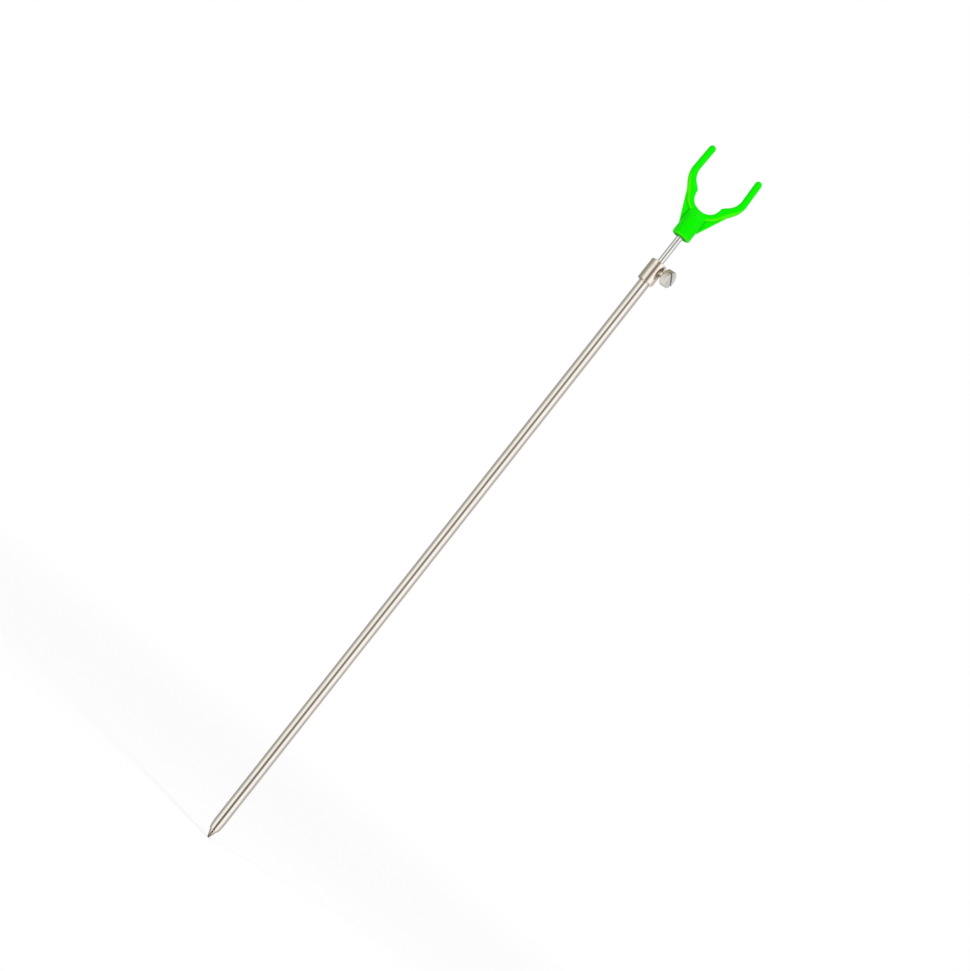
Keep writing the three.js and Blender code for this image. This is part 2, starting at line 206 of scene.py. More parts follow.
TUBE_WALL, TUBE_RADIUS, LIP_RADIUS = 0.9, 5.3, 3.7
SWAGE_FOOT, SWAGE_TOP = 7.5, 18.5
LIP_PROUD, NECK_GAP = 0.3 * TUBE_WALL, 0.04
POINT_RADIUS, SHOULDER_RADIUS = 0.6, LIP_RADIUS - LIP_PROUD
SPIKE_NECK_RADIUS = LIP_RADIUS - TUBE_WALL - NECK_GAP
PLUG_RADIUS, PLUG_TOP, PLUG_CHAMFER = 4.36, 33.5, 0.8
DARK_UP_TO, FADED_BY = 1.5, 7.5
CONE_CLEAN, CONE_GRIMY = colour(0.76, 0.72, 0.66), colour(0.52, 0.48, 0.43)
TIP_DARK = colour(0.18, 0.165, 0.145)


def turned_steel(place):
    cut = rings(place, 5200)
    dirt = cloudy(place, 420, 5, 0.6)
    grime = ramped(dirt, 0.42, 0.72)
    # Darker and rougher towards the tip.
    towards_tip = ramped_mm(measured(place, "Z") + 2 * MM * dirt, DARK_UP_TO, FADED_BY, 1, 0)
    return {
        "Base Color": blended(towards_tip, blended(grime * 0.6, CONE_CLEAN, CONE_GRIMY), TIP_DARK),
        "Metallic": 1.0,
        "Roughness": 0.10 + 0.06 * cut + 0.12 * towards_tip + 0.06 * grime,
        "Normal": raised(cut + 0.5 * dirt, 0.01),
    }


spike = finished(
    turned([(0, 0), (POINT_RADIUS, 0), (SHOULDER_RADIUS, SWAGE_FOOT)]
           + bulge(SPIKE_NECK_RADIUS, SWAGE_FOOT, PLUG_RADIUS, SWAGE_TOP)
           + [(PLUG_RADIUS, PLUG_TOP - PLUG_CHAMFER), (PLUG_RADIUS - PLUG_CHAMFER, PLUG_TOP), (0, PLUG_TOP)]),
    "turned_spike", finish("turned_spike_steel", turned_steel))
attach(spike, "lower_stick")
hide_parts("ground_spike")


# Outer tube
# Drawn stainless tube, polished along its length, with its lower end swaged in over the spike. It has
# faint drawing lines and smudges, and scuffs near the foot from going into the ground.
TUBE_TOP, TUBE_CORNER = 604.6, 0.15
BORE_RADIUS = TUBE_RADIUS - TUBE_WALL
SCUFFED_FROM, SCUFFED_TO = 20, 200
STEEL_LIGHT, STEEL_DULL = colour(0.88, 0.84, 0.785), colour(0.81, 0.765, 0.705)


def drawn_out(place, scale, rotation=(0, 0, 0)):
    """A place turned, then multiplied along each axis, so that a cloud of scale 1 on it makes streaks."""
    return place.node("Mapping", {}, {"Vector": place, "Rotation": rotation, "Scale": scale})


def drawn_steel(place):
    drawn = cloudy(drawn_out(place, (2600, 2600, 9)), 1, 3, 0.6)
    smudge = ramped(cloudy(place, 38, 4, 0.6, 0.5), 0.38, 0.7)
    streaks = cloudy(drawn_out(place, (1500, 1500, 90), (0.25, 0.12, 0)), 1, 2, 0.5)
    low_down = ramped_mm(measured(place, "Z"), SCUFFED_FROM, SCUFFED_TO, 1, 0)
    scuffs = ramped(streaks, 0.62, 0.72) * low_down
    return {
        "Base Color": blended(0.75 * smudge + 0.25 * scuffs, STEEL_LIGHT, STEEL_DULL),
        "Metallic": 1.0,
        "Roughness": 0.10 + 0.05 * drawn + 0.06 * smudge + 0.16 * scuffs,
        "Normal": raised(drawn - 0.6 * scuffs, 0.008),
    }


tube_body = turned(
    bulge(LIP_RADIUS, SWAGE_FOOT, TUBE_RADIUS, SWAGE_TOP)
    + [(TUBE_RADIUS, TUBE_TOP), (BORE_RADIUS, TUBE_TOP)]
    + bulge(LIP_RADIUS - TUBE_WALL, SWAGE_FOOT, BORE_RADIUS, SWAGE_TOP)[::-1], closed=True)
break_corners(tube_body, TUBE_CORNER)
tube = finished(tube_body, "drawn_tube", finish("drawn_tube_steel", drawn_steel))
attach(tube, "lower_stick")
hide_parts("outer_tube")


# Clamp collar
# A sleeve turned from steel bar, pressed and bonded on the tube's top, with a rounded foot and a tapped
# hole in its side for the thumb screw. It is polished on the lathe, which leaves fine rings. Its colour
# holds painted reflections: duller on the -X side, rosy in a band down the middle, brighter on the +X side.
COLLAR_RADIUS, COLLAR_FOOT, COLLAR_TOP = 7.69, 594.6, 615.4
COLLAR_FOOT_ROUND, COLLAR_CHAMFER, COLLAR_CORNER, MOUTH_CHAMFER = 1.3, 0.5, 0.12, 0.4
SEAT_RADIUS, GUIDE_RADIUS = 5.34, 3.15
SCREW_HEIGHT, SCREW_BEARING = 608.0, math.radians(29)
SCREW_HOLE_RADIUS, SCREW_HOLE_SIDES = 2.6, 48
OVERCUT = 2
# Tones painted as reflections on the collar's sides and down its middle.
COLLAR_WARM_REFLECTION, COLLAR_BRIGHT_REFLECTION = colour(0.90, 0.815, 0.74), colour(1.0, 0.93, 0.88)
COLLAR_ROSY_REFLECTION, COLLAR_DULL_REFLECTION = colour(0.90, 0.77, 0.67), colour(0.66, 0.63, 0.53)
screw_axis = (Matrix.Translation((0, 0, SCREW_HEIGHT * MM))
              @ Matrix.Rotation(-SCREW_BEARING, 4, "Z") @ Matrix.Rotation(math.pi / 2, 4, "Y"))


def round_bar(radius, foot, top, sides):
    """A plain round bar up the Z axis, in mm, to cut a hole with."""
    return turned([(0, foot), (radius, foot), (radius, top), (0, top)], sides)


def combined(bm, operation, *others):
    """The first shape with the others joined to it or cut out of it. All of them are used up."""
    shapes = []
    for shape in (bm, *others):
        mesh = bpy.data.meshes.new("shape")
        shape.to_mesh(mesh)
        shape.free()
        shapes.append(bpy.data.objects.new("shape", mesh))
        bpy.context.scene.collection.objects.link(shapes[-1])
    for other in shapes[1:]:
        step = shapes[0].modifiers.new("step", "BOOLEAN")
        step.operation, step.object, step.solver = operation, other, "EXACT"
    result = bmesh.new()
    result.from_object(shapes[0], bpy.context.evaluated_depsgraph_get())
    for shape in shapes:
        bpy.data.objects.remove(shape)
    return result


def lathe_polished_steel(place):
    cut = rings(place, 4200)
    smudge = ramped(cloudy(place, 90, 4, 0.6, 0.5), 0.38, 0.7)
    # Painted reflections: brighter on the +X side, rosy in a band down the middle, duller on the -X side.
    across = measured(place, "X") + 2 * MM * (smudge - 0.5)
    reflection_sides = blended(ramped_mm(across, 3, 6), COLLAR_WARM_REFLECTION, COLLAR_BRIGHT_REFLECTION)
    reflection_band = blended(ramped_mm(abs(across), 0.6, 1.8, 1, 0), reflection_sides, COLLAR_ROSY_REFLECTION)
    return {
        "Base Color": blended(ramped_mm(across, -5.5, -2.5, 1, 0), reflection_band, COLLAR_DULL_REFLECTION),
        "Metallic": 1.0,
        "Roughness": 0.11 + 0.07 * cut + 0.07 * smudge,
        "Normal": raised(cut, 0.01),
    }


collar_body = turned(
    bulge(COLLAR_RADIUS - COLLAR_FOOT_ROUND, COLLAR_FOOT,
          COLLAR_RADIUS, COLLAR_FOOT + COLLAR_FOOT_ROUND, steps=8)
    + [(COLLAR_RADIUS, COLLAR_TOP - COLLAR_CHAMFER), (COLLAR_RADIUS - COLLAR_CHAMFER, COLLAR_TOP),
       (GUIDE_RADIUS + MOUTH_CHAMFER, COLLAR_TOP), (GUIDE_RADIUS, COLLAR_TOP - MOUTH_CHAMFER),
       (GUIDE_RADIUS, TUBE_TOP), (SEAT_RADIUS, TUBE_TOP), (SEAT_RADIUS, COLLAR_FOOT)], closed=True)
break_corners(collar_body, COLLAR_CORNER)
side_hole = round_bar(SCREW_HOLE_RADIUS, 0, COLLAR_RADIUS + OVERCUT, SCREW_HOLE_SIDES)
side_hole.transform(screw_axis)
collar = finished(combined(collar_body, "DIFFERENCE", side_hole), "turned_collar",
                  finish("turned_collar_steel", lathe_polished_steel), crease=30)
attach(collar, "lower_stick")
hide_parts("clamp_collar")


# Clamp pad
# A loose slug cut from white nylon rod, in the tapped hole between the screw's end and the sliding rod,
# so that the screw doesn't mark the plating. It is hidden, and keeps its CAD shape.
NYLON_CLEAN, NYLON_STAINED = colour(0.82, 0.80, 0.73), colour(0.62, 0.59, 0.52)


def dressed(node, material):
    """Gives a CAD node a new material."""
    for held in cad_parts[node].material_slots:
        held.material = material


def sawn_nylon(place):
    grain = cloudy(place, 2600, 3, 0.6)
    stain = ramped(cloudy(place, 700, 2, 0.5), 0.45, 0.75)
    return {
        "Base Color": blended(stain, NYLON_CLEAN, NYLON_STAINED),
        "Roughness": 0.42 + 0.16 * grain,
        "Normal": raised(grain, 0.03),
    }


white_nylon = finish("white_nylon", sawn_nylon)
dressed("clamp_pad", white_nylon)


# Clamp screw
# A nickel plated thumb screw: a knurled drum with a slotted, turned face, a short neck, and an M5 thread
# through the collar's side. It is turned from one bar. The plating is worn to brass on the neck, which is
# painted bright along its middle as a highlight and dark above and below as shade. The rim's top is
# painted olive as a reflection, the chamfer behind the head and the back face are painted dark as shade,
# and the slot is painted dark as shade.
THREAD_RADIUS, THREAD_PITCH, THREAD_DEPTH = 2.5, 0.8, 0.42
THREAD_CHAMFER, THREAD_RUNOUT, THREAD_STEP = 0.5, 0.6, 0.1
THREAD_FLAT, THREAD_START, THREAD_TOP = 0.1, 0.3, COLLAR_RADIUS + 0.4
SCREW_FOOT, SCREW_NECK_FOOT, HEAD_FOOT, HEAD_END = 4.45, 9.39, 11.99, 19.19
SCREW_NECK_RADIUS, SCREW_NECK_CHAMFER = 3.2, 0.4
HEAD_RADIUS, HEAD_CHAMFER, HEAD_CROWN = 7.65, 0.8, 0.35
CROWN_HALFWAY, CHAMFER_STEPS, DRUM_STEP = 0.27, 4, 1.3
TEETH, TOOTH_DEPTH, TOOTH_POWER, SIDES_PER_TOOTH = 46, 0.35, 1.3, 8
SLOT_WIDTH, SLOT_DEPTH, SLOT_LENGTH, SLOT_ANGLE = 2.0, 2.2, 18, math.radians(56)
SLOT_FLOOR = HEAD_END - HEAD_CROWN - SLOT_DEPTH
FACE_CLEAN, FACE_HAZY = colour(0.93, 0.93, 0.91), colour(0.82, 0.815, 0.79)
RIM_CLEAN, RIM_HAZY = colour(0.86, 0.815, 0.775), colour(0.76, 0.72, 0.68)
# Painted reflection for the rim's top; painted shade for the chamfer behind the head, the back face and the
# slot; brass painted bright as a highlight and dark as shade for the neck.
RIM_PAINTED_REFLECTION, EDGE_PAINTED_SHADE = colour(0.31, 0.30, 0.17), colour(0.17, 0.15, 0.08)
BACK_PAINTED_SHADE, SLOT_PAINTED_SHADE = colour(0.16, 0.12, 0.09), colour(0.27, 0.26, 0.24)
NECK_BRASS_HIGHLIGHT, NECK_BRASS_SHADE = colour(0.95, 0.91, 0.70), colour(0.36, 0.30, 0.19)


def cut_thread(bm, foot, top):
    """Cuts a right-hand thread into the turned shank between two heights in mm."""
    for vert in bm.verts:
        height, radius = vert.co.z / MM, vert.co.xy.length
        if foot <= height <= top and radius > (THREAD_RADIUS - THREAD_CHAMFER) * MM:
            turn = (height / THREAD_PITCH - math.atan2(vert.co.y, vert.co.x) / (2 * math.pi)) % 1
            fade = min(1, (top - height) / THREAD_RUNOUT, (height - foot) / THREAD_RUNOUT + THREAD_START)
            groove = min(1, max(0, (1 + 2 * THREAD_FLAT) * abs(2 * turn - 1) - THREAD_FLAT))
            vert.co.xy *= 1 - THREAD_DEPTH * groove * fade * MM / radius


def steps_up(radius, foot, top, step):
    """Points up a straight side, at most a step in mm apart."""
    count = math.ceil((top - foot) / step)
    return [(radius, foot + (top - foot) * i / count) for i in range(count + 1)]


def knurl(bm, foot):
    """Presses straight teeth into the turned drum above a height in mm, by moving its rim inwards."""
    for vert in bm.verts:
        if vert.co.z > foot * MM:
            share = math.atan2(vert.co.y, vert.co.x) / (2 * math.pi) * TEETH % 1
            limit = (HEAD_RADIUS - TOOTH_DEPTH * abs(2 * share - 1) ** TOOTH_POWER) * MM
            if vert.co.xy.length > limit:
                vert.co.xy *= limit / vert.co.xy.length


def nickel_plate(place):
    inside = place.node("Mapping", {"vector_type": "TEXTURE"},
                        {"Vector": place, "Location": screw_axis.to_translation(),
                         "Rotation": screw_axis.to_euler()})
    slotwise = place.node("Mapping", {"vector_type": "TEXTURE"},
                          {"Vector": inside, "Rotation": (0, 0, SLOT_ANGLE)})
    height, out, along = measured(place, "Z"), off_centre(inside), measured(inside, "Z")
    cut = rings(inside, 4600)
    haze = ramped(cloudy(inside, 330, 5, 0.6, 0.3), 0.35, 0.7)
    rubbed = ramped_mm(out, 7.0, 7.6)

    on_rim = ramped_mm(out, HEAD_RADIUS - 0.7, HEAD_RADIUS - 0.4)
    on_neck = ramped_mm(out, SCREW_NECK_RADIUS + 0.05, SCREW_NECK_RADIUS + 0.15, 1, 0)
    behind = ramped_mm(along, HEAD_FOOT + 0.1, HEAD_FOOT + 0.3, 1, 0)
    on_edge = (1 - behind) * ramped_mm(along, HEAD_FOOT + 0.7, HEAD_FOOT + 1.3, 1, 0)
    off_middle = abs(measured(slotwise, "Y"))
    in_slot = (ramped_mm(off_middle, SLOT_WIDTH / 2 + 0.02, SLOT_WIDTH / 2 + 0.12, 1, 0)
               * (along > (SLOT_FLOOR - 0.05) * MM))

    plated = blended(on_rim, blended(haze, FACE_CLEAN, FACE_HAZY), blended(haze, RIM_CLEAN, RIM_HAZY))
    # Painted reflection: the rim is olive from the height of the screw's axis upwards.
    on_top = ramped_mm(height + 2 * MM * haze, SCREW_HEIGHT - 0.5, SCREW_HEIGHT + 5, 0, 0.95)
    rim = blended(on_rim * on_top, plated, RIM_PAINTED_REFLECTION)
    # The neck is brass where the plating is worn, painted bright along its middle as a highlight and dark
    # above and below it as shade.
    off_axis = ramped_mm(abs(height - SCREW_HEIGHT * MM), 0.6, 2.3)
    neck = blended(on_neck * behind, rim, blended(off_axis, NECK_BRASS_HIGHLIGHT, NECK_BRASS_SHADE))
    # Painted shade: the chamfer behind the head is dark olive above the axis.
    edge_shade = ramped_mm(height, SCREW_HEIGHT, SCREW_HEIGHT + 3.5, 0, 0.85)
    edge = blended((1 - on_neck) * on_edge * edge_shade, neck, EDGE_PAINTED_SHADE)
    # Painted shade: the back face of the head is dark, most above the axis.
    back_shade = ramped_mm(height, SCREW_HEIGHT - 4.5, SCREW_HEIGHT + 0.5, 0.05, 0.9)
    back = blended((1 - on_neck) * behind * back_shade, edge, BACK_PAINTED_SHADE)
    # Painted shade: the slot is dark, most towards its floor.
    slot_shade = ramped_mm(along, HEAD_END - 1.6, HEAD_END - 0.4, 0.55, 0.1)
    return {
        "Base Color": blended(in_slot * slot_shade, back, SLOT_PAINTED_SHADE),
        "Metallic": 0.7,
        "Roughness": 0.20 + 0.06 * cut + 0.10 * haze - 0.05 * rubbed,
        "Normal": raised(cut + 0.4 * haze, 0.01),
    }


screw_body = turned(
    [(0, SCREW_FOOT), (THREAD_RADIUS - THREAD_CHAMFER, SCREW_FOOT)]
    + steps_up(THREAD_RADIUS, SCREW_FOOT + THREAD_CHAMFER, SCREW_NECK_FOOT, THREAD_STEP)
    + [(SCREW_NECK_RADIUS - SCREW_NECK_CHAMFER, SCREW_NECK_FOOT),
       (SCREW_NECK_RADIUS, SCREW_NECK_FOOT + SCREW_NECK_CHAMFER),
       (SCREW_NECK_RADIUS, HEAD_FOOT), (HEAD_RADIUS - HEAD_CHAMFER, HEAD_FOOT)]
    + [(HEAD_RADIUS - HEAD_CHAMFER * (1 - i / CHAMFER_STEPS), HEAD_FOOT + HEAD_CHAMFER * i / CHAMFER_STEPS)
       for i in range(1, CHAMFER_STEPS)]
    + steps_up(HEAD_RADIUS, HEAD_FOOT + HEAD_CHAMFER, HEAD_END - HEAD_CHAMFER, DRUM_STEP)
    + [(HEAD_RADIUS - HEAD_CHAMFER * i / CHAMFER_STEPS,
        HEAD_END - HEAD_CHAMFER + (HEAD_CHAMFER - HEAD_CROWN) * i / CHAMFER_STEPS)
       for i in range(1, CHAMFER_STEPS + 1)]
    + [(HEAD_RADIUS / 2, HEAD_END - HEAD_CROWN * CROWN_HALFWAY), (0, HEAD_END)],
    TEETH * SIDES_PER_TOOTH)
cut_thread(screw_body, SCREW_FOOT + THREAD_CHAMFER, THREAD_TOP)
knurl(screw_body, HEAD_FOOT)
slot = bmesh.new()
bmesh.ops.create_cube(
    slot, size=1, matrix=Matrix.Rotation(SLOT_ANGLE, 4, "Z") @ Matrix.Translation((0, 0, HEAD_END * MM))
    @ Matrix.Diagonal((SLOT_LENGTH * MM, SLOT_WIDTH * MM, 2 * (SLOT_DEPTH + HEAD_CROWN) * MM, 1)))
screw_body = combined(screw_body, "DIFFERENCE", slot)
screw_body.transform(screw_axis)
screw = finished(screw_body, "knurled_screw", finish("nickel_plate", nickel_plate), crease=32)
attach(screw, "thumb_screw")
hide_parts("clamp_screw")


# Guide bush and its retainer
# A white nylon bush on the rod's lower spigot, which runs in the tube's bore, and the toothed spring
# steel washer pushed on under it. Both are hidden in the tube, and keep their CAD shapes.
SPRING_BLUE, SPRING_BROWN = colour(0.09, 0.10, 0.14), colour(0.26, 0.25, 0.24)


def blued_spring(place):
    temper = cloudy(place, 900, 4, 0.6, 0.6)
    return {
        "Base Color": blended(temper, SPRING_BLUE, SPRING_BROWN),
        "Metallic": 1.0,
        "Roughness": 0.28 + 0.2 * temper,
        "Normal": raised(temper, 0.01),
    }


dressed("guide_bush", white_nylon)
dressed("bush_retainer", finish("blued_spring", blued_spring))


# Inner rod
# A ground steel rod with bright hard chrome, turned down below for the bush and threaded above for the
# rod rest. It slides and turns in the collar, which leaves faint rub lines along it.
ROD_RADIUS, ROD_FOOT, ROD_SHOULDER, ROD_TOP, ROD_CHAMFER = 3.05, 75.6, 93.5, 646.0, 0.15
SPIGOT_RADIUS, SPIGOT_CHAMFER = 2.0, 0.3
STUB_TOP = 655.5
CHROME_BRIGHT, CHROME_FILMED = colour(0.84, 0.855, 0.85), colour(0.78, 0.795, 0.79)


def hard_chrome(place):
    rub = ramped(cloudy(drawn_out(place, (4200, 4200, 5)), 1, 2, 0.5), 0.56, 0.72)
    film = ramped(cloudy(place, 60, 4, 0.6, 0.4), 0.4, 0.7)
    return {
        "Base Color": blended(film, CHROME_BRIGHT, CHROME_FILMED),
        "Metallic": 1.0,
        "Roughness": 0.23 + 0.08 * rub + 0.05 * film,
        "Normal": raised(rub, 0.004),
    }


rod_body = turned(
    [(0, ROD_FOOT), (SPIGOT_RADIUS - SPIGOT_CHAMFER, ROD_FOOT), (SPIGOT_RADIUS, ROD_FOOT + SPIGOT_CHAMFER),
     (SPIGOT_RADIUS, ROD_SHOULDER), (ROD_RADIUS - ROD_CHAMFER, ROD_SHOULDER),
     (ROD_RADIUS, ROD_SHOULDER + ROD_CHAMFER),
     (ROD_RADIUS, ROD_TOP - ROD_CHAMFER), (ROD_RADIUS - ROD_CHAMFER, ROD_TOP)]
    + steps_up(THREAD_RADIUS, ROD_TOP, STUB_TOP - THREAD_CHAMFER, THREAD_STEP)
    + [(THREAD_RADIUS - THREAD_CHAMFER, STUB_TOP), (0, STUB_TOP)])
cut_thread(rod_body, ROD_TOP, STUB_TOP - THREAD_CHAMFER)
rod = finished(rod_body, "chromed_rod", finish("hard_chrome", hard_chrome), crease=32)
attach(rod, "rod_and_rest")
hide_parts("inner_rod")


# Thread insert
# A turned and knurled brass insert, moulded into the rod rest's boss, which screws on the rod's stub.
# It is hidden, and keeps its CAD shape.
BRASS_BRIGHT, BRASS_DULL = colour(0.86, 0.64, 0.30), colour(0.60, 0.42, 0.18)


def machined_brass(place):
    cut = rings(place, 5000)
    dull = ramped(cloudy(place, 500, 4, 0.6), 0.4, 0.7)
    return {
        "Base Color": blended(dull, BRASS_BRIGHT, BRASS_DULL),
        "Metallic": 1.0,
        "Roughness": 0.2 + 0.1 * cut + 0.15 * dull,
        "Normal": raised(cut, 0.01),
    }


dressed("thread_insert", finish("machined_brass", machined_brass))


# Rod rest
# Bright green moulded plastic: a socket boss that thins into a round bar, which is bent into a cradle
# with two shoulders, elbows and arms, and a thin web on each side. The mould leaves small fillets
# where they meet, a satin skin, and a faint parting line down both sides. Faces that turn down are
# painted paler and yellower as a highlight, hollows are painted darker as shade, and the flat underside
# of the boss's foot is rougher and painted dark as shade, most near the rod.
REST_FOOT = 643.5
CRADLE_RADIUS, CRADLE_FLOOR, BAR_RADIUS = 12.7, 27.9, 3.35
CRADLE_CENTRE = CRADLE_FLOOR + CRADLE_RADIUS
CRADLE_REACH, CRADLE_SIDES = 12, 160
CRADLE_STATIONS, SWING_STEPS = 16, 18
BOSS_RADIUS, BOSS_FOOT_ROUND, BOSS_TOP = 8.8, 1.7, CRADLE_FLOOR + BAR_RADIUS / 2
BOSS_THINNING, BOSS_TOP_DEPTH, BOSS_STEP = 12.5, 3.5, 0.8
SHOULDER_HALF_WIDTH, SHOULDER_DROP = 5.05, math.radians(12)
ELBOW_X, ELBOW_HEIGHT, ELBOW_RADIUS = CRADLE_RADIUS + 13.2, CRADLE_CENTRE + 8.6, 19
ELBOW_HALF_WIDTH, ELBOW_STEPS = 4.0, 14
ARM_RADIUS, ARM_LEAN, TIP_STEPS = 3.2, math.radians(2.1), 9
REST_TOP = ELBOW_HEIGHT + 30.5
WEB_HALF_THICKNESS, WEB_FOOT, WEB_REACH, WEB_TUCK, WEB_ROUND = 1.2, 9.5, 3.4, 0.5, 0.7
POCKET_FOOT, POCKET_TOP, POCKET_RADIUS, POCKET_CHAMFER = 2.46, 12.54, 4.04, 0.4
RIB_FOOT, RIB_TOP, RIB_RADIUS = 6.34, 8.66, 3.44
SOCKET_CLEARANCE, POCKET_SIDES = 0.1, 64
BAR_SIDES = 36
SKIN_CELL, SKIN_PASSES, HOLLOW_PASSES = 0.32, 3, 10
GREEN_FRESH, GREEN_FLOWED = colour(0.001, 0.95, 0.001), colour(0.001, 0.89, 0.001)
# Painted highlight for faces that turn down; painted shade for hollows and for the foot's underside.
GREEN_PAINTED_HIGHLIGHT, GREEN_PAINTED_SHADE = colour(0.075, 1.0, 0.004), colour(0.001, 0.5, 0.001)
GREEN_FOOT_PAINTED_SHADE, GREEN_SHEEN = colour(0.001, 0.3, 0.001), colour(0.6, 1.0, 0.1)


def bar_stations():
    """Right half of the bar from the cradle's bottom to the arm's tip: (x, z, heading, width, depth)."""
    line = CRADLE_RADIUS + BAR_RADIUS
    swing = math.pi / 2 - SHOULDER_DROP
    stations = []
    for i in range(CRADLE_STATIONS):
        around = i / SWING_STEPS * swing
        stations.append((line * math.sin(around), CRADLE_CENTRE - line * math.cos(around), around,
                         BAR_RADIUS, BAR_RADIUS))
    shoulder_x = line * math.cos(SHOULDER_DROP)
    shoulder_z = CRADLE_CENTRE - line * math.sin(SHOULDER_DROP)
    rise = math.atan2(ELBOW_HEIGHT - shoulder_z, ELBOW_X - shoulder_x)
    stations.append((shoulder_x, shoulder_z, rise, SHOULDER_HALF_WIDTH, BAR_RADIUS))
    upright = math.pi / 2 + ARM_LEAN
    turn = upright - rise
    tangent = ELBOW_RADIUS * math.tan(turn / 2)
    centre_x = ELBOW_X - tangent * math.cos(rise) - ELBOW_RADIUS * math.sin(rise)
    centre_z = ELBOW_HEIGHT - tangent * math.sin(rise) + ELBOW_RADIUS * math.cos(rise)
    for i in range(ELBOW_STEPS + 1):
        heading = rise + i / ELBOW_STEPS * turn
        stations.append((centre_x + ELBOW_RADIUS * math.sin(heading),
                         centre_z - ELBOW_RADIUS * math.cos(heading), heading,
                         ELBOW_HALF_WIDTH + (ARM_RADIUS - ELBOW_HALF_WIDTH) * i / ELBOW_STEPS, ARM_RADIUS))
    tip_z = REST_TOP - ARM_RADIUS
    tip_x = ELBOW_X - (tip_z - ELBOW_HEIGHT) * math.tan(ARM_LEAN)
    for i in range(TIP_STEPS):
        angle = i / TIP_STEPS * math.pi / 2
        ahead, radius = ARM_RADIUS * math.sin(angle), ARM_RADIUS * math.cos(angle)
        stations.append((tip_x + ahead * math.cos(upright), tip_z + ahead * math.sin(upright),
                         upright, radius, radius))
    return stations


def station_matrix(x, z, heading, width, depth):
    """Places a circle of radius 1 at a station, square to the bar."""
    inward = Vector((-math.sin(heading), 0, math.cos(heading))) * width * MM
    forward = Vector((0, -depth * MM, 0))
    ahead = Vector((math.cos(heading), 0, math.sin(heading))) * MM
    return Matrix.Translation((x * MM, 0, z * MM)) @ Matrix((inward, forward, ahead)).transposed().to_4x4()


def fork_bar(bm):
    """Extrudes a disc from the left arm's tip through the cradle to the right arm's tip."""
    right = bar_stations()
    left = [(-x, z, -heading, width, depth) for x, z, heading, width, depth in right[:0:-1]]
    place = station_matrix(*left[0])
    bmesh.ops.create_circle(bm, cap_ends=True, segments=BAR_SIDES, radius=1, matrix=place)
    edges = bm.edges[:]
    for station in left[1:] + right:
        grown = bmesh.ops.extrude_edge_only(bm, edges=edges)["geom"]
        ring = [item for item in grown if isinstance(item, bmesh.types.BMVert)]
        edges = [item for item in grown
                 if isinstance(item, bmesh.types.BMEdge) and set(item.verts) <= set(ring)]
        following = station_matrix(*station)
        bmesh.ops.transform(bm, matrix=following @ place.inverted(), verts=ring)
        place = following
    bmesh.ops.contextual_create(bm, geom=edges)
    bmesh.ops.recalc_face_normals(bm, faces=bm.faces)


def fork_web(bm):
    """A plate between the boss and both shoulders, with rounded edges."""
    x, z, heading, width, _ = bar_stations()[CRADLE_STATIONS]
    in_x, in_z = -math.sin(heading), math.cos(heading)
    outward = width - WEB_TUCK
    half = [(BOSS_RADIUS, WEB_FOOT),
            (x - in_x * outward + in_z * WEB_REACH, z - in_z * outward - in_x * WEB_REACH),
            (x, z), (0, CRADLE_FLOOR - BAR_RADIUS)]
    outline = half + [(-a, b) for a, b in half[2::-1]]
    front = bm.faces.new([bm.verts.new((a * MM, -WEB_HALF_THICKNESS * MM, b * MM)) for a, b in outline])
    grown = bmesh.ops.extrude_face_region(bm, geom=[front])["geom"]
    back = [item for item in grown if isinstance(item, bmesh.types.BMVert)]
    bmesh.ops.translate(bm, verts=back, vec=(0, 2 * WEB_HALF_THICKNESS * MM, 0))
    bmesh.ops.recalc_face_normals(bm, faces=bm.faces)
    break_corners(bm, WEB_ROUND, segments=3, over=60)


def moulded(bm):
    """One skin over the joined shapes, with small fillets where they meet and soft edges."""
    mesh = bpy.data.meshes.new("blank")
    bm.to_mesh(mesh)
    bm.free()
    blank = bpy.data.objects.new("blank", mesh)
    bpy.context.scene.collection.objects.link(blank)
    skin = blank.modifiers.new("skin", "REMESH")
    skin.mode, skin.voxel_size = "VOXEL", SKIN_CELL * MM
    soften = blank.modifiers.new("soften", "SMOOTH")
    soften.factor, soften.iterations = 0.5, SKIN_PASSES
    result = bmesh.new()
    result.from_object(blank, bpy.context.evaluated_depsgraph_get())
    bpy.data.objects.remove(blank)
    return result


def marked(bm):
    """Gives each point of the skin how hollow it is there, in mm, and how far it faces down."""
    bm.normal_update()
    bm.verts.index_update()
    around = [[edge.other_vert(vert).index for edge in vert.link_edges] for vert in bm.verts]
    places = [vert.co.copy() for vert in bm.verts]
    for _ in range(HOLLOW_PASSES):
        places = [(place + sum((places[i] for i in near), Vector())) / (1 + len(near))
                  for place, near in zip(places, around)]
    hollow, under = (bm.verts.layers.float.new(name) for name in ("hollow", "under"))
    for vert, place in zip(bm.verts, places):
        vert[hollow] = (place - vert.co).dot(vert.normal) / MM
        vert[under] = max(0, -vert.normal.z)
    return bm


